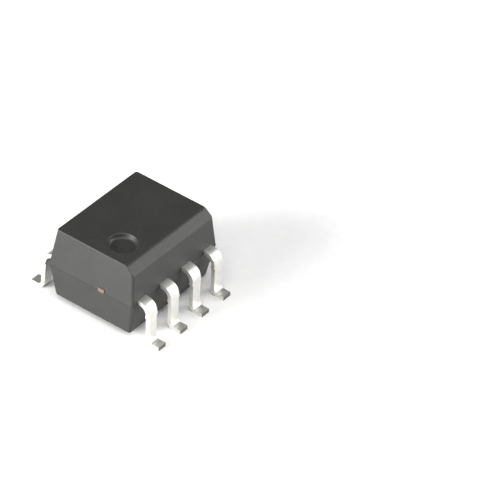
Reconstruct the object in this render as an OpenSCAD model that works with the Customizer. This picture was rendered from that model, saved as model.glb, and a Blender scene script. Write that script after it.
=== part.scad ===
// SO-8 optocoupler: an 8-lead, small-outline, gull-wing part with a tall moulded body.
// It rests on its feet: z = 0 is the seating plane, the lead rows run along X,
// pins 1 to 4 are on the -Y side (pin 1 at -X), pins 5 to 8 on the +Y side (pin 8 at -X).

/* [Outer mould] */
// Length of the body at the parting line
body_l = 4.92; // [4.6:0.01:5.4]
// Width of the body at the parting line
body_w = 3.84; // [3.6:0.01:4.2]
// Height of the upper mould half
upper_h = 1.57; // [1.4:0.01:1.8]
// Height of the lower mould half
lower_h = 1.43; // [1.3:0.01:1.6]
// Slope of the upper walls from the vertical, for release from the mould
upper_draft = 6.5; // [3:0.5:8]
// Slope of the lower walls from the vertical
lower_draft = 8.5; // [3:0.5:10]
// Radius of the four upright corners
corner_r = 0.11; // [0.06:0.01:0.15]
// Radius of the rounded bottom edges
bottom_r = 0.12; // [0.05:0.01:0.2]
// Width of the long bevel over pins 1 to 4, seen from above
bevel_w = 0.33; // [0.2:0.01:0.5]
// Height of that bevel, seen from the end
bevel_h = 0.34; // [0.2:0.01:0.5]
// How far the rounding of the bevel's two long edges reaches to each side
bevel_ease = 0.09; // [0.03:0.01:0.1]
// Height of the flash line left where the mould halves meet
flash_t = 0.02; // [0.01:0.005:0.05]
// How far the flash line stands out of the walls
flash_out = 0.006; // [0.003:0.001:0.03]

/* [Marks in the mould] */
// Diameter of the pin 1 dimple at the top face
dimple_d = 1.12; // [0.6:0.01:1.3]
// Depth of the pin 1 dimple
dimple_depth = 0.18; // [0.08:0.01:0.22]
// Width of the sloping wall of the dimple
dimple_wall = 0.06; // [0.02:0.01:0.12]
// Distance of the dimple's centre from the pin 1 end of the body
dimple_from_end = 1.13; // [0.9:0.01:1.4]
// Distance of the dimple's centre from the body's middle, towards pin 1
dimple_from_middle = 0.51; // [0.2:0.01:0.7]
// Diameter of the round recess in the underside
recess_d = 1.94; // [1.2:0.01:2.2]
// Depth of the round recess in the underside
recess_depth = 0.05; // [0.02:0.01:0.1]

/* [Leads] */
// Distance from one lead to the next
pitch = 1.27; // [1.2:0.01:1.35]
// Thickness of the lead frame
lead_t = 0.16; // [0.12:0.01:0.2]
// Width of a lead at its foot
lead_w = 0.42; // [0.35:0.01:0.5]
// Width of a lead between the body and the trimmed dam bar
lead_shoulder_w = 0.47; // [0.42:0.01:0.56]
// How far the trimmed dam bar stands out of each side of a lead
dam_nub = 0.02; // [0.01:0.005:0.04]
// Length of the trimmed dam bar along a lead
dam_l = 0.12; // [0.08:0.01:0.2]
// Distance over the tips of two opposite leads
span = 5.84; // [5.6:0.01:6.2]
// Gap under the body
standoff = 0.20; // [0.1:0.01:0.25]
// Inside radius of the shoulder bend
shoulder_r = 0.32; // [0.2:0.01:0.36]
// Inside radius of the foot bend
ankle_r = 0.16; // [0.1:0.01:0.2]
// Slope of the riser from the vertical
riser_slope = 2; // [0:0.5:5]
// Flat length of a foot
foot_l = 0.28; // [0.2:0.01:0.34]

/* [Lead frame inside] */
// Length of the LED's paddle, along the body
led_pad_l = 1.20; // [0.9:0.01:1.3]
// Width of the LED's paddle
led_pad_w = 0.80; // [0.6:0.01:0.85]
// Length of the detector's paddle
det_pad_l = 1.60; // [1.2:0.01:1.8]
// Width of the detector's paddle
det_pad_w = 1.00; // [0.95:0.01:1.1]
// Distance of the LED's paddle from the middle of pin 2, along the body
led_pad_shift = 0.25; // [0.2:0.01:0.3]
// Distance of the detector's paddle from the middle of pin 6, along the body
det_pad_shift = 0.45; // [0.42:0.01:0.48]
// Shift of the gap between the paddles towards pins 1 to 4
paddle_shift = 0.05; // [0:0.01:0.1]
// Gap between the two paddles, which isolates input from output
paddle_gap = 0.36; // [0.3:0.01:0.5]
// Length of the anchor heads of the other leads, along the body
head_l = 0.74; // [0.6:0.01:0.84]
// Width of the anchor heads
head_w = 0.26; // [0.2:0.01:0.3]
// Distance of the anchor heads from the body's wall
head_in = 0.36; // [0.3:0.01:0.38]
// How far the bond posts of pins 1 and 5 reach into the body
post_in = 0.92; // [0.85:0.01:1.0]
// Length of the bond posts, along the body
post_l = 1.00; // [0.9:0.01:1.1]
// Width of a tie bar
tie_w = 0.26; // [0.2:0.01:0.4]
// How far a tie bar reaches into the body
tie_in = 0.66; // [0.5:0.01:0.68]
// Length of the wide head at a tie bar's inner end
tie_head = 0.14; // [0.1:0.01:0.2]
// How far a cut tie bar stands out of the body
tie_out = 0.02; // [0.01:0.01:0.1]
// Distance of the tie bars from the body's middle, towards pin 1
tie_from_middle = 0.50; // [0.3:0.01:0.7]

/* [Chips and coupling] */
// Side of the square LED chip
led_side = 0.30; // [0.25:0.01:0.36]
// Thickness of the LED chip
led_t = 0.20; // [0.15:0.01:0.25]
// Side of the square detector chip
det_side = 0.72; // [0.5:0.01:0.8]
// Thickness of the detector chip
det_t = 0.22; // [0.15:0.01:0.25]
// Distance of the chips from the facing edges of their paddles
chip_inset = 0.05; // [0.04:0.01:0.08]
// Thickness of the silver epoxy under the chips
attach_t = 0.02; // [0.015:0.001:0.03]
// How far the silver epoxy shows round a chip
attach_rim = 0.03; // [0.02:0.01:0.04]
// Radius of the clear dome over both chips, at the lead frame
dome_r = 1.05; // [1:0.01:1.15]
// Height of the clear dome
dome_h = 0.62; // [0.55:0.01:0.7]
// Thickness of the black end walls round the white inner mould, at the parting line
end_wall = 0.75; // [0.7:0.01:0.85]
// Thickness of the black side walls
side_wall = 0.44; // [0.4:0.01:0.5]
// Height of the white inner mould over the parting line
inner_up = 1.04; // [1:0.01:1.15]
// Depth of the white inner mould under the parting line
inner_down = 0.50; // [0.4:0.01:0.7]

/* [Bond wires] */
// Diameter of the gold wire
wire_d = 0.03; // [0.02:0.005:0.04]
// Diameter of the ball at a wire's start
ball_d = 0.08; // [0.06:0.01:0.1]
// Height of the ball
ball_h = 0.03; // [0.02:0.005:0.04]
// Bend radius of a wire's loop
loop_r = 0.08; // [0.06:0.01:0.1]
// Distance of the detector's bond pads from the edges of its chip
bond_inset = 0.12; // [0.08:0.01:0.16]
// Distance of a wire's end from the tip of its bond post
stitch_inset = 0.10; // [0.06:0.01:0.12]
// Slope of the LED's wire towards pin 1
led_wire_slope = 25; // [22:1:30]
// Slope of the emitter's wire towards pin 5
emitter_wire_slope = 30; // [28:1:36]
// Slope of the base wire towards pin 7
base_wire_slope = 45; // [42:1:50]

/* [Hidden] */
$fn = 64;
eps = 0.01;
far = 10;
wire_sides = 10;
loop_steps = 8;
parting_z = standoff + lower_h;
body_top = parting_z + upper_h;
lead_z = parting_z + lead_t / 2;
frame_top = parting_z + lead_t;
upper_lean = upper_h * tan(upper_draft);
lower_lean = lower_h * tan(lower_draft);
top_l = body_l - 2 * upper_lean;
top_w = body_w - 2 * upper_lean;
rise = 90 - riser_slope;
shoulder_mid = shoulder_r + lead_t / 2;
ankle_mid = ankle_r + lead_t / 2;
riser_drop = lead_z - lead_t / 2 - (shoulder_mid + ankle_mid) * (1 - cos(rise));
riser_l = riser_drop / sin(rise);
lead_run = (shoulder_mid + ankle_mid) * sin(rise) + riser_l * cos(rise) + foot_l;
shoulder_y = span / 2 - lead_run;
dam_z = lead_z - shoulder_mid * (1 - cos(rise)) - dam_l;
bend_steps = 16;
ease_steps = 4;
ease_run = 3;
wall_y = body_w / 2;
wall_x = body_l / 2;
inner_l = body_l - 2 * end_wall;
inner_w = body_w - 2 * side_wall;
led_pad_y = -paddle_gap / 2 - led_pad_w / 2 - paddle_shift;
det_pad_y = led_pad_y + led_pad_w / 2 + paddle_gap + det_pad_w / 2;
led_chip_y = led_pad_y + led_pad_w / 2 - chip_inset - led_side / 2;
det_chip_y = det_pad_y - det_pad_w / 2 + chip_inset + det_side / 2;
chip_z = frame_top + attach_t;
dome_y = (led_chip_y - led_side / 2 + det_chip_y + det_side / 2) / 2;
post_y = wall_y - post_in;
head_y = wall_y - head_in;
black = "#3F3F3B";
tin = "#D9D9D4";
copper = "#C08468";
gold = "#E0B040";

// X position of a pin: 1 to 4 from -X to +X, 5 to 8 back again
function pin_x(pin) = (pin <= 4 ? pin - 2.5 : 6.5 - pin) * pitch;
// Side of a pin: -1 for pins 1 to 4, 1 for pins 5 to 8
function pin_side(pin) = pin <= 4 ? -1 : 1;

// A rectangle with round corners, as a thin plate whose underside is at z
module round_plate(l, w, r, z, t) {
    translate([0, 0, z])
        linear_extrude(t)
            hull()
                for (sx = [-1, 1], sy = [-1, 1])
                    translate([sx * (l / 2 - r), sy * (w / 2 - r)])
                        circle(r, $fn = 32);
}

// Both mould halves lean in from the parting line; the bottom edges are rounded
module mould_blank() {
    leaf = 0.001;
    hull() {
        round_plate(body_l, body_w, corner_r, parting_z, leaf);
        round_plate(top_l, top_w, corner_r, body_top - leaf, leaf);
    }
    lean_r = bottom_r * tan(45 - lower_draft / 2);
    floor_x = wall_x - lower_lean - lean_r;
    floor_y = wall_y - lower_lean - lean_r;
    hull() {
        round_plate(body_l, body_w, corner_r, parting_z - leaf, leaf);
        for (sx = [-1, 1], sy = [-1, 1])
            translate([sx * floor_x, sy * floor_y, standoff + bottom_r])
                sphere(bottom_r, $fn = 32);
        translate([-floor_x, -floor_y, standoff])
            cube([2 * floor_x, 2 * floor_y, leaf]);
    }
    round_plate(body_l + 2 * flash_out, body_w + 2 * flash_out, corner_r, parting_z - flash_t / 2, flash_t);
}

// The whole outside of the moulding, with its bevel and its two round marks
module mould_form() {
    lean = tan(upper_draft);
    wall_at_bevel = body_w / 2 - (upper_h - bevel_h) * lean;
    difference() {
        mould_blank();
        translate([-far / 2, 0, 0])
            rotate([90, 0, 90])
                linear_extrude(far)
                    bevel_cut([-wall_at_bevel, body_top - bevel_h], [bevel_w - top_w / 2, body_top], lean);
        translate([-wall_x + dimple_from_end, -dimple_from_middle, body_top - dimple_depth])
            cylinder(dimple_depth + eps, d1 = dimple_d - 2 * dimple_wall,
                     d2 = dimple_d + 2 * dimple_wall * eps / dimple_depth);
        translate([0, 0, standoff - eps])
            cylinder(recess_depth + eps, d = recess_d);
    }
}

// Points of a curve that rounds the corner c between the points a and b
function ease(a, c, b) =
    [for (i = [0 : ease_steps])
        let (t = i / ease_steps)
            (1 - t) * (1 - t) * a + 2 * t * (1 - t) * c + t * t * b];

// What the bevel takes off, in the side view: it runs from the point low to the point high
module bevel_cut(low, high, lean) {
    along = bevel_ease * (high - low) / norm(high - low);
    below = ease(low - bevel_ease * [lean, 1], low, low + along);
    above = ease(high - along, high, high + [bevel_ease, 0]);
    polygon(concat([below[0] + ease_run * (below[0] - below[1])], below, above,
                   [above[ease_steps] + ease_run * (above[ease_steps] - above[ease_steps - 1])],
                   [[low[0], high[1]] + bevel_w * [-1, 1]]));
}

// A block round the parting line whose walls lean in above and below it
module drafted_block(l, w, up, down, draft) {
    lean_up = up * tan(draft);
    lean_down = down * tan(draft);
    translate([0, 0, parting_z])
        intersection() {
            rotate([90, 0, 0])
                translate([0, 0, -w])
                    linear_extrude(2 * w)
                        drafted_outline(l, up, down, lean_up, lean_down);
            rotate([90, 0, 90])
                translate([0, 0, -l])
                    linear_extrude(2 * l)
                        drafted_outline(w, up, down, lean_up, lean_down);
        }
}

module drafted_outline(w, up, down, lean_up, lean_down) {
    polygon([[-w / 2, 0], [-w / 2 + lean_up, up], [w / 2 - lean_up, up],
             [w / 2, 0], [w / 2 - lean_down, -down], [-w / 2 + lean_down, -down]]);
}

// Points of an arc round c from angle a0 to angle a1
function arc(c, r, a0, a1) =
    [for (i = [0 : bend_steps]) c + r * [cos(a0 + (a1 - a0) * i / bend_steps),
                                         sin(a0 + (a1 - a0) * i / bend_steps)]];

// The formed part of a lead from the side: X outwards, Y up
module gull_wing_side() {
    foot_y = span / 2 - foot_l;
    shoulder_c = [shoulder_y, lead_z - shoulder_mid];
    ankle_c = [foot_y, lead_t + ankle_r];
    polygon(concat([[shoulder_y - lead_t, frame_top]],
                   arc(shoulder_c, shoulder_r + lead_t, 90, 90 - rise),
                   arc(ankle_c, ankle_r, 270 - rise, 270),
                   [[span / 2, lead_t], [span / 2, 0]],
                   arc(ankle_c, ankle_r + lead_t, 270, 270 - rise),
                   arc(shoulder_c, shoulder_r, 90 - rise, 90),
                   [[shoulder_y - lead_t, parting_z]]));
}

// The gull wing's strip of width w between the heights z0 and z1
module gull_wing_strip(w, z0, z1) {
    translate([0, 0, -w / 2])
        linear_extrude(w)
            intersection() {
                gull_wing_side();
                translate([0, z0])
                    square([far, z1 - z0]);
            }
}

// The whole gull wing: wide at the shoulder, narrow below the trimmed dam bar
module gull_wing() {
    gull_wing_strip(lead_w, 0, frame_top);
    gull_wing_strip(lead_shoulder_w, dam_z, frame_top);
    gull_wing_strip(lead_shoulder_w + 2 * dam_nub, dam_z, dam_z + dam_l);
}

// What lies flat in the lead frame: an outline at its own place, as thick as the frame
module frame_sheet() {
    translate([0, 0, parting_z])
        linear_extrude(lead_t)
            children();
}

// A rectangle of the lead frame, between two corners
module plate(x0, y0, x1, y1) {
    translate([min(x0, x1), min(y0, y1)])
        square([abs(x1 - x0), abs(y1 - y0)]);
}

// A pin: its gull wing, its stem in to the distance inner_y from the middle, and what the stem carries.
// The pin is drawn with X = 0 at its middle and Y outwards, then turned to its side of the body.
module pin(number, inner_y) {
    translate([pin_x(number), 0, 0])
        rotate(pin_side(number) < 0 ? 180 : 0) {
            rotate([90, 0, 90])
                gull_wing();
            frame_sheet() {
                plate(-lead_shoulder_w / 2, inner_y, lead_shoulder_w / 2, shoulder_y - lead_t / 2);
                children();
            }
        }
}

// A head at the inner end of a stem: toward is the X direction in which it reaches, 0 for both
module pin_head(y, l, toward) {
    x = toward * (l - lead_shoulder_w) / 2;
    plate(x - l / 2, y - head_w, x + l / 2, y);
}

module lead_1() {
    color(tin)
        pin(1, post_y + head_w)
            pin_head(post_y + head_w, post_l, -1);
}

// Pin 2 carries the LED on its paddle
module lead_2() {
    color(tin)
        pin(2, -led_pad_y + led_pad_w / 2)
            plate(-led_pad_shift - led_pad_l / 2, -led_pad_y - led_pad_w / 2,
                  -led_pad_shift + led_pad_l / 2, -led_pad_y + led_pad_w / 2);
}

module lead_3() {
    color(tin)
        pin(3, head_y)
            pin_head(head_y, head_l, 0);
}

module lead_4() {
    color(tin)
        pin(4, head_y)
            pin_head(head_y, head_l, 1);
}

module lead_5() {
    color(tin)
        pin(5, post_y + head_w)
            pin_head(post_y + head_w, post_l, -1);
}

// Pin 6 carries the detector on its paddle
module lead_6() {
    color(tin)
        pin(6, det_pad_y + det_pad_w / 2)
            plate(-det_pad_shift - det_pad_l / 2, det_pad_y - det_pad_w / 2,
                  -det_pad_shift + det_pad_l / 2, det_pad_y + det_pad_w / 2);
}

module lead_7() {
    color(tin)
        pin(7, head_y)
            pin_head(head_y, head_l, 0);
}

module lead_8() {
    color(tin)
        pin(8, head_y)
            pin_head(head_y, head_l, 1);
}

module all_leads() {
    lead_1();
    lead_2();
    lead_3();
    lead_4();
    lead_5();
    lead_6();
    lead_7();
    lead_8();
}

// A tie bar held the lead frame in its strip; its cut end shows in an end wall
module tie_bar(side) {
    y = -tie_from_middle;
    inner_x = wall_x - tie_in;
    frame_sheet() {
        plate(side * inner_x, y - tie_w / 2, side * (wall_x + tie_out), y + tie_w / 2);
        plate(side * inner_x, y - tie_w, side * (inner_x + tie_head), y + tie_w);
    }
}

module tie_bar_near() {
    color(copper)
        tie_bar(-1);
}

module tie_bar_far() {
    color(copper)
        tie_bar(1);
}

// A square chip, or the silver epoxy under it, centred over the lead frame
module slab(side, y, z, t) {
    translate([-side / 2, y - side / 2, z])
        cube([side, side, t]);
}

module led_attach() {
    color("silver")
        slab(led_side + 2 * attach_rim, led_chip_y, frame_top, attach_t);
}

module led_chip() {
    color("dimgray")
        slab(led_side, led_chip_y, chip_z, led_t);
}

module detector_attach() {
    color("silver")
        slab(det_side + 2 * attach_rim, det_chip_y, frame_top, attach_t);
}

module detector_chip() {
    color("slategray")
        slab(det_side, det_chip_y, chip_z, det_t);
}

// A ring of a bond wire round the point [x, z] of its path; lean is the path's angle from upright
function ring(x, z, lean, r_in, r_out) =
    [for (i = [0 : wire_sides - 1])
        let (a = 360 * i / wire_sides)
            [x + r_in * cos(a) * cos(lean), r_out * sin(a), z - r_in * cos(a) * sin(lean)]];

// A closed solid through rings of equal count, each listed from the first to the last
module sweep_rings(rings) {
    n = wire_sides;
    last = len(rings) - 1;
    sides = [for (j = [0 : last - 1], i = [0 : n - 1])
                [j * n + i, (j + 1) * n + i, (j + 1) * n + (i + 1) % n, j * n + (i + 1) % n]];
    polyhedron([for (one = rings) each one],
               concat([[for (i = [0 : n - 1]) i]], sides, [[for (i = [0 : n - 1]) last * n + n - 1 - i]]));
}

// A bond wire from start to end: a ball on the chip, a neck, a bend, a straight slope to the lead
module bond_wire(start, end, chip_t, slope) {
    run = end - start;
    reach = norm(run);
    r = wire_d / 2;
    chip_top = attach_t + chip_t;
    ball_top = chip_top + ball_h;
    bend_z = (reach - loop_r * (1 + sin(slope))) * tan(slope) - loop_r * cos(slope);
    loop = [for (i = [0 : loop_steps])
               let (a = (90 + slope) * i / loop_steps)
                   ring(loop_r * (1 - cos(a)), bend_z + loop_r * sin(a), a, r, r)];
    translate([start[0], start[1], frame_top])
        rotate(atan2(run[1], run[0]))
            sweep_rings(concat([ring(0, chip_top, 0, ball_d / 2, ball_d / 2),
                                ring(0, ball_top, 0, ball_d / 2, ball_d / 2),
                                ring(0, ball_top + ball_h / 3, 0, r, r)],
                               loop,
                               [ring(reach, 0, 180, r / sin(slope), r)]));
}

module led_wire() {
    tip = pin_x(1) - lead_shoulder_w / 2 + post_l - stitch_inset;
    color(gold)
        bond_wire([0, led_chip_y], [tip, -post_y - head_w / 2], led_t, led_wire_slope);
}

module emitter_wire() {
    tip = pin_x(5) + lead_shoulder_w / 2 - post_l + stitch_inset;
    pad = det_side / 2 - bond_inset;
    color(gold)
        bond_wire([pad, det_chip_y + pad / 2], [tip, post_y + head_w / 2], det_t, emitter_wire_slope);
}

module base_wire() {
    pad = det_side / 2 - bond_inset;
    color(gold)
        bond_wire([-pad, det_chip_y + pad], [pin_x(7), head_y - head_w / 2], det_t, base_wire_slope);
}

module all_wires() {
    led_wire();
    emitter_wire();
    base_wire();
}

// The cap of a ball that stands on the lead frame over both chips
module dome_form() {
    ball_r = (dome_r * dome_r + dome_h * dome_h) / (2 * dome_h);
    translate([0, dome_y, frame_top])
        intersection() {
            translate([0, 0, dome_h - ball_r])
                sphere(ball_r);
            cylinder(dome_h, r = dome_r + eps);
        }
}

// Clear silicone that guides the LED's light to the detector
module light_dome() {
    color("lightcyan", 0.5)
        difference() {
            dome_form();
            led_attach();
            led_chip();
            detector_attach();
            detector_chip();
            all_wires();
        }
}

// White moulding that reflects the light back into the dome
module inner_mold() {
    color("ivory")
        difference() {
            drafted_block(inner_l, inner_w, inner_up, inner_down, upper_draft);
            dome_form();
            all_leads();
            all_wires();
        }
}

// Black outer moulding, open only where the leads and tie bars pass
module molded_body() {
    color(black)
        difference() {
            mould_form();
            drafted_block(inner_l, inner_w, inner_up, inner_down, upper_draft);
            all_leads();
            tie_bar_near();
            tie_bar_far();
        }
}

molded_body();
inner_mold();
light_dome();
lead_1();
lead_2();
lead_3();
lead_4();
lead_5();
lead_6();
lead_7();
lead_8();
tie_bar_near();
tie_bar_far();
led_chip();
led_attach();
detector_chip();
detector_attach();
led_wire();
emitter_wire();
base_wire();
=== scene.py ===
import math

import bmesh
import bpy
from mathutils import Matrix, Vector


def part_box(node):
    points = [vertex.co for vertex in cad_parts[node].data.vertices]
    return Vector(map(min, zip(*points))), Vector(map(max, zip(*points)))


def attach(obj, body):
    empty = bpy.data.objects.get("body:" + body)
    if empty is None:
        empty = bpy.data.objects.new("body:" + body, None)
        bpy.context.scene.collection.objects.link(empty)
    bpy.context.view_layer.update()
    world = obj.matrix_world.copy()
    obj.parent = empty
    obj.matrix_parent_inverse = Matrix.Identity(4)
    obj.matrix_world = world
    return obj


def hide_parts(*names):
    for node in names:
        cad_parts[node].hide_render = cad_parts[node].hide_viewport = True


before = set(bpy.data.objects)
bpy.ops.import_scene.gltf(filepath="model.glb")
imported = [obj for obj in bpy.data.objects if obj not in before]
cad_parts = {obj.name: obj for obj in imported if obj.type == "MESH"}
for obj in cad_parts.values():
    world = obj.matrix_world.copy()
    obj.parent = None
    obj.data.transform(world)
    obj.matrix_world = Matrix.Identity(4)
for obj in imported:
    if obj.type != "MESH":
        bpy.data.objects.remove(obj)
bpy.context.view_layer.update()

# --- Outer moulding -------------------------------------------------------
# One transfer moulding of black epoxy, filled with silica and pressed round the lead frame.
# Its cavity was spark eroded, which leaves the walls matt and finely grained. The visible shell is
# a copy of the CAD node with the mould's small radii added.
MM = 0.001


def to_linear(colour):
    """An sRGB hex colour as linear red, green, blue and alpha."""
    parts = [int(colour[i:i + 2], 16) / 255 for i in (1, 3, 5)]
    return [c / 12.92 if c <= 0.04045 else ((c + 0.055) / 1.055) ** 2.4 for c in parts] + [1.0]


def add_node(tree, kind, inputs=None, **settings):
    """Adds a shader node with its settings; an input gets a socket to link or a value to hold."""
    node = tree.nodes.new(kind)
    for name, value in settings.items():
        setattr(node, name, value)
    for name, value in (inputs or {}).items():
        if isinstance(value, bpy.types.NodeSocket):
            tree.links.new(value, node.inputs[name])
        else:
            node.inputs[name].default_value = value
    return node


def new_finish(name, **shader_values):
    """A material with one Principled shader, and the object's coordinates in millimetres."""
    material = bpy.data.materials.new(name)
    material.use_nodes = True
    tree = material.node_tree
    tree.nodes.clear()
    shader = add_node(tree, "ShaderNodeBsdfPrincipled",
                      {key.replace("_", " "): value for key, value in shader_values.items()})
    add_node(tree, "ShaderNodeOutputMaterial", {"Surface": shader.outputs[0]})
    metres = add_node(tree, "ShaderNodeTexCoord").outputs["Object"]
    place = add_node(tree, "ShaderNodeMapping",
                     {"Vector": metres, "Scale": [1 / MM] * 3}).outputs[0]
    return material, tree, shader, place


def dress(names, material):
    """Gives CAD nodes their material."""
    for name in names:
        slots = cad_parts[name].data.materials
        slots.clear()
        slots.append(material)


# Spark erosion leaves a grain about 0.02 mm across; it is drawn at 0.06 mm, so that it shows
GRAIN = 0.06
GRAIN_DEPTH = 0.006
BLOTCH = 1.2
epoxy, tree, shader, place = new_finish("black_epoxy_spark_eroded", IOR=1.55)
grain = add_node(tree, "ShaderNodeTexNoise",
                 {"Vector": place, "Scale": 1 / GRAIN, "Detail": 3.0}).outputs["Fac"]
blotch = add_node(tree, "ShaderNodeTexNoise",
                  {"Vector": place, "Scale": 1 / BLOTCH, "Detail": 2.0}).outputs["Fac"]
mottle = add_node(tree, "ShaderNodeMath", {0: grain, 1: blotch}, operation="ADD").outputs[0]
tone = add_node(tree, "ShaderNodeMapRange",
                {"Value": mottle, "From Min": 0.7, "From Max": 1.3}).outputs["Result"]
colour = add_node(tree, "ShaderNodeMix",
                  {0: tone, 6: to_linear("#282826"), 7: to_linear("#30302D")},
                  data_type="RGBA").outputs[2]
matt = add_node(tree, "ShaderNodeMapRange",
                {"Value": grain, "To Min": 0.42, "To Max": 0.62}).outputs["Result"]
relief = add_node(tree, "ShaderNodeBump",
                  {"Height": grain, "Distance": GRAIN_DEPTH * MM}).outputs["Normal"]
tree.links.new(colour, shader.inputs["Base Color"])
tree.links.new(matt, shader.inputs["Roughness"])
tree.links.new(relief, shader.inputs["Normal"])

# The mould's own small radii: one on the outer edges, a wider one round the floor of the dimple.
# The heights keep to what lies over the cavity, and to what lies under the dimple's rim.
EDGE_RADIUS = 0.03
DIMPLE_FILLET = 0.09
SHARP = math.radians(40)
FLAT = math.radians(0.5)
SAME_PLACE = 0.0005
SAME_HEIGHT = 0.001
OVER_CAVITY = 2.7
UNDER_RIM = 3.1

shell = bmesh.new()
shell.from_mesh(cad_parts["molded_body"].data)
bmesh.ops.remove_doubles(shell, verts=shell.verts, dist=SAME_PLACE * MM)
bmesh.ops.dissolve_limit(shell, angle_limit=FLAT, verts=shell.verts, edges=shell.edges)


def sharp_edges(mesh, low, high):
    """The sharp edges of a mesh whose ends both lie between two heights in millimetres."""
    return [edge for edge in mesh.edges
            if len(edge.link_faces) == 2 and edge.calc_face_angle() > SHARP
            and all(low * MM < end.co.z < high * MM for end in edge.verts)]


dimple_floor = [edge for edge in sharp_edges(shell, OVER_CAVITY, UNDER_RIM)
                if abs(edge.verts[0].co.z - edge.verts[1].co.z) < SAME_HEIGHT * MM]
bmesh.ops.bevel(shell, geom=dimple_floor, offset=DIMPLE_FILLET * MM, offset_type="OFFSET",
                segments=5, profile=0.5, affect="EDGES", material=-1)
bmesh.ops.bevel(shell, geom=sharp_edges(shell, OVER_CAVITY, math.inf), offset=EDGE_RADIUS * MM,
                offset_type="OFFSET", segments=3, profile=0.5, affect="EDGES", material=-1)
shell_mesh = bpy.data.meshes.new("body_shell")
shell.to_mesh(shell_mesh)
shell.free()
shell_mesh.materials.append(epoxy)
body_shell = bpy.data.objects.new("body_shell", shell_mesh)
bpy.context.scene.collection.objects.link(body_shell)
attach(body_shell, "root")
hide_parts("molded_body")

# --- Leads ----------------------------------------------------------------
# Eight gull wings, stamped from copper alloy sheet, plated with tin and formed after moulding.
# The plating is bright and a little cloudy; the sheared tips show the bare alloy.
LEADS = ["lead_%d" % number for number in range(1, 9)]
CLOUD = 0.25
SCRATCH = 0.05
SCRATCH_DEPTH = 0.002
TIP_SKIN = 0.004
EDGE_ROUND = 0.012

tin, tree, shader, place = new_finish("tin_plated_copper_alloy", Metallic=1.0)
cloud = add_node(tree, "ShaderNodeTexNoise",
                 {"Vector": place, "Scale": 1 / CLOUD, "Detail": 4.0}).outputs["Fac"]
scratch = add_node(tree, "ShaderNodeTexNoise",
                   {"Vector": place, "Scale": 1 / SCRATCH, "Detail": 3.0}).outputs["Fac"]
plating = add_node(tree, "ShaderNodeMix",
                   {0: cloud, 6: to_linear("#D6D5CE"), 7: to_linear("#F0EFEA")},
                   data_type="RGBA").outputs[2]
across = add_node(tree, "ShaderNodeSeparateXYZ", {"Vector": place}).outputs["Y"]
reach = add_node(tree, "ShaderNodeMath", {0: across}, operation="ABSOLUTE").outputs[0]
tip_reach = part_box("lead_5")[1].y / MM - TIP_SKIN
tip = add_node(tree, "ShaderNodeMath",
               {0: reach, 1: tip_reach}, operation="GREATER_THAN").outputs[0]
colour = add_node(tree, "ShaderNodeMix", {0: tip, 6: plating, 7: to_linear("#7C736C")},
                  data_type="RGBA").outputs[2]
satin = add_node(tree, "ShaderNodeMapRange",
                 {"Value": cloud, "To Min": 0.42, "To Max": 0.55}).outputs["Result"]
relief = add_node(tree, "ShaderNodeBump",
                  {"Height": scratch, "Distance": SCRATCH_DEPTH * MM}).outputs["Normal"]
tree.links.new(colour, shader.inputs["Base Color"])
tree.links.new(satin, shader.inputs["Roughness"])
tree.links.new(relief, shader.inputs["Normal"])
dress(LEADS, tin)


def round_edges(name, width):
    """Joins a CAD node's loose triangles and rounds its sharp edges, as stamping and plating do."""
    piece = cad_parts[name]
    weld = piece.modifiers.new("join", "WELD")
    weld.merge_threshold = SAME_PLACE * MM
    rounding = piece.modifiers.new("round", "BEVEL")
    rounding.width = width * MM
    rounding.segments = 2
    rounding.limit_method = "ANGLE"
    rounding.angle_limit = SHARP


for name in LEADS:
    round_edges(name, EDGE_ROUND)

# --- Tie bars -------------------------------------------------------------
# Two struts that held the lead frame in its strip, sheared off flush after moulding.
# They end in bare copper alloy, dull and pinkish, with the streaks of the shear.
SHEAR = 0.03
cut, tree, shader, place = new_finish("sheared_copper_alloy", Metallic=1.0)
drag = add_node(tree, "ShaderNodeMapping", {"Vector": place, "Scale": [1, 4, 1]}).outputs[0]
streak = add_node(tree, "ShaderNodeTexNoise",
                  {"Vector": drag, "Scale": 1 / SHEAR, "Detail": 2.0}).outputs["Fac"]
colour = add_node(tree, "ShaderNodeMix",
                  {0: streak, 6: to_linear("#6E5A50"), 7: to_linear("#B09A8C")},
                  data_type="RGBA").outputs[2]
dull = add_node(tree, "ShaderNodeMapRange",
                {"Value": streak, "To Min": 0.5, "To Max": 0.7}).outputs["Result"]
tree.links.new(colour, shader.inputs["Base Color"])
tree.links.new(dull, shader.inputs["Roughness"])
dress(["tie_bar_near", "tie_bar_far"], cut)

# --- White inner moulding -------------------------------------------------
# Epoxy filled with titanium dioxide, moulded first, round the dome and the paddles.
# It is chalky white, so that it throws the light back into the dome.
CHALK = 0.08
white, tree, shader, place = new_finish("white_reflector_epoxy", IOR=1.5)
chalk = add_node(tree, "ShaderNodeTexNoise",
                 {"Vector": place, "Scale": 1 / CHALK, "Detail": 2.0}).outputs["Fac"]
colour = add_node(tree, "ShaderNodeMix",
                  {0: chalk, 6: to_linear("#DFDDD4"), 7: to_linear("#F8F7F2")},
                  data_type="RGBA").outputs[2]
matt = add_node(tree, "ShaderNodeMapRange",
                {"Value": chalk, "To Min": 0.6, "To Max": 0.75}).outputs["Result"]
tree.links.new(colour, shader.inputs["Base Color"])
tree.links.new(matt, shader.inputs["Roughness"])
dress(["inner_mold"], white)

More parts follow.
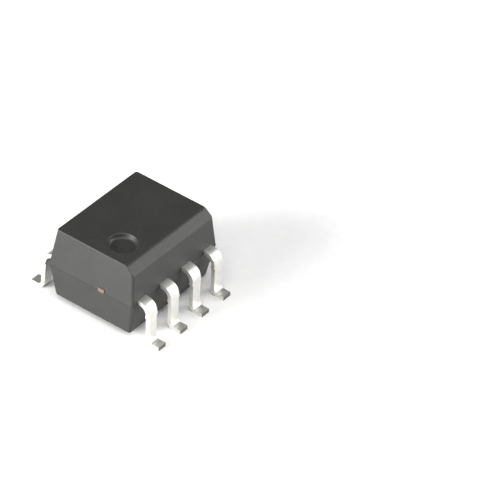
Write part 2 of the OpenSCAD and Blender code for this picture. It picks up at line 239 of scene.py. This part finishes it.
# --- Clear dome -----------------------------------------------------------
# A drop of soft silicone, dispensed over both chips and cured before the white moulding.
# It is clear and glossy, and carries the light from the LED to the detector.
RIPPLE = 0.5
silicone, tree, shader, place = new_finish("clear_silicone_gel", IOR=1.41, Transmission_Weight=1.0)
ripple = add_node(tree, "ShaderNodeTexNoise",
                  {"Vector": place, "Scale": 1 / RIPPLE, "Detail": 1.0}).outputs["Fac"]
colour = add_node(tree, "ShaderNodeMix",
                  {0: ripple, 6: to_linear("#EAF1F0"), 7: to_linear("#FDFEFE")},
                  data_type="RGBA").outputs[2]
gloss = add_node(tree, "ShaderNodeMapRange",
                 {"Value": ripple, "To Min": 0.03, "To Max": 0.08}).outputs["Result"]
tree.links.new(colour, shader.inputs["Base Color"])
tree.links.new(gloss, shader.inputs["Roughness"])
dress(["light_dome"], silicone)

# --- Chips and their silver epoxy -----------------------------------------
# The LED is a diced cube of gallium arsenide and the detector a wider plate of silicon.
# Each is stuck to its paddle with epoxy full of silver flakes.
FLAKE = 0.02
DICING = 0.04

for name, node, dark, light in (
        ("diced_gallium_arsenide", "led_chip", "#33292B", "#5C5052"),
        ("diced_silicon", "detector_chip", "#303743", "#5C6675")):
    crystal, tree, shader, place = new_finish(name, IOR=3.5)
    blade = add_node(tree, "ShaderNodeMapping", {"Vector": place, "Scale": [1, 1, 6]}).outputs[0]
    saw = add_node(tree, "ShaderNodeTexNoise",
                   {"Vector": blade, "Scale": 1 / DICING, "Detail": 2.0}).outputs["Fac"]
    colour = add_node(tree, "ShaderNodeMix", {0: saw, 6: to_linear(dark), 7: to_linear(light)},
                      data_type="RGBA").outputs[2]
    polish = add_node(tree, "ShaderNodeMapRange",
                      {"Value": saw, "To Min": 0.15, "To Max": 0.3}).outputs["Result"]
    tree.links.new(colour, shader.inputs["Base Color"])
    tree.links.new(polish, shader.inputs["Roughness"])
    dress([node], crystal)

paste, tree, shader, place = new_finish("silver_filled_epoxy", Metallic=0.7)
flake = add_node(tree, "ShaderNodeTexVoronoi",
                 {"Vector": place, "Scale": 1 / FLAKE}).outputs["Distance"]
colour = add_node(tree, "ShaderNodeMix",
                  {0: flake, 6: to_linear("#A2A29F"), 7: to_linear("#DADAD6")},
                  data_type="RGBA").outputs[2]
satin = add_node(tree, "ShaderNodeMapRange",
                 {"Value": flake, "To Min": 0.3, "To Max": 0.6}).outputs["Result"]
tree.links.new(colour, shader.inputs["Base Color"])
tree.links.new(satin, shader.inputs["Roughness"])
dress(["led_attach", "detector_attach"], paste)

# --- Bond wires -----------------------------------------------------------
# Gold wire 0.03 mm thick, welded as a ball on the chip and as a stitch on the lead frame.
DRAWN = 0.02
gold, tree, shader, place = new_finish("drawn_gold_wire", Metallic=1.0)
die_marks = add_node(tree, "ShaderNodeTexNoise",
                     {"Vector": place, "Scale": 1 / DRAWN, "Detail": 2.0}).outputs["Fac"]
colour = add_node(tree, "ShaderNodeMix",
                  {0: die_marks, 6: to_linear("#D09A36"), 7: to_linear("#F8D078")},
                  data_type="RGBA").outputs[2]
polish = add_node(tree, "ShaderNodeMapRange",
                  {"Value": die_marks, "To Min": 0.15, "To Max": 0.3}).outputs["Result"]
tree.links.new(colour, shader.inputs["Base Color"])
tree.links.new(polish, shader.inputs["Roughness"])
dress(["led_wire", "emitter_wire", "base_wire"], gold)

# --- Floor ----------------------------------------------------------------
# A sheet of smooth white card that the part stands on.
FLOOR_SIZE = 600
FIBRE = 0.4
card, tree, shader, place = new_finish("smooth_white_card")
fibre = add_node(tree, "ShaderNodeTexNoise",
                 {"Vector": place, "Scale": 1 / FIBRE, "Detail": 3.0}).outputs["Fac"]
colour = add_node(tree, "ShaderNodeMix",
                  {0: fibre, 6: to_linear("#F2F2F1"), 7: to_linear("#FAFAF9")},
                  data_type="RGBA").outputs[2]
matt = add_node(tree, "ShaderNodeMapRange",
                {"Value": fibre, "To Min": 0.7, "To Max": 0.8}).outputs["Result"]
tree.links.new(colour, shader.inputs["Base Color"])
tree.links.new(matt, shader.inputs["Roughness"])
sheet = bmesh.new()
bmesh.ops.create_grid(sheet, x_segments=1, y_segments=1, size=FLOOR_SIZE / 2 * MM)
floor_mesh = bpy.data.meshes.new("floor")
sheet.to_mesh(floor_mesh)
sheet.free()
floor_mesh.materials.append(card)
floor = bpy.data.objects.new("floor", floor_mesh)
bpy.context.scene.collection.objects.link(floor)

# --- Light and camera -----------------------------------------------------
# A low soft light on the pin 1 end, a weaker one in front of the bevel, a wide one overhead, and
# an evenly grey room. The lens is long, and its settings are in degrees and millimetres.
BODY_MIDDLE = Vector((0, 0, 1.79 * MM))


def softbox(name, azimuth, elevation, distance, size, power):
    """A square soft light that faces the part from a compass direction, 0 at -Y and 90 at +X."""
    turn, lift = math.radians(azimuth), math.radians(elevation)
    toward = Vector((math.sin(turn) * math.cos(lift),
                     -math.cos(turn) * math.cos(lift), math.sin(lift)))
    lamp = bpy.data.lights.new(name, "AREA")
    lamp.size = size * MM
    lamp.energy = power
    light = bpy.data.objects.new(name, lamp)
    light.location = BODY_MIDDLE + toward * distance * MM
    light.rotation_euler = toward.to_track_quat("Z", "Y").to_euler()
    bpy.context.scene.collection.objects.link(light)


softbox("key", azimuth=-116, elevation=16, distance=300, size=160, power=1.7)
softbox("fill", azimuth=45, elevation=24, distance=300, size=140, power=0.57)
softbox("top", azimuth=-55, elevation=68, distance=320, size=260, power=0.77)

room = bpy.data.worlds.new("grey_room")
room.use_nodes = True
room.node_tree.nodes["Background"].inputs["Color"].default_value = to_linear("#606062")
room.node_tree.nodes["Background"].inputs["Strength"].default_value = 1.0
bpy.context.scene.world = room

# The camera looks down on the pin 1 corner through a long lens, level but for a slight roll
CAMERA_AZIMUTH = -55.77
CAMERA_ELEVATION = 38.47
CAMERA_ROLL = 4.67
CAMERA_DISTANCE = 161.17
OFFSET_RIGHT = -4.195
OFFSET_UP = -0.016
LENS = 323.3

azimuth, elevation = math.radians(CAMERA_AZIMUTH), math.radians(CAMERA_ELEVATION)
back = Vector((math.sin(azimuth) * math.cos(elevation),
               -math.cos(azimuth) * math.cos(elevation), math.sin(elevation)))
level = Vector((0, 0, 1)).cross(back).normalized()
right = Matrix.Rotation(math.radians(CAMERA_ROLL), 3, back) @ level
up = back.cross(right)
eye = bpy.data.cameras.new("camera")
eye.lens = LENS
eye.clip_start = 10 * MM
camera = bpy.data.objects.new("camera", eye)
camera.matrix_world = Matrix.Translation(
    BODY_MIDDLE + (back * CAMERA_DISTANCE - right * OFFSET_RIGHT - up * OFFSET_UP) * MM
) @ Matrix((right, up, back)).transposed().to_4x4()
bpy.context.scene.collection.objects.link(camera)
bpy.context.scene.camera = camera
bpy.context.scene.view_settings.view_transform = "Standard"
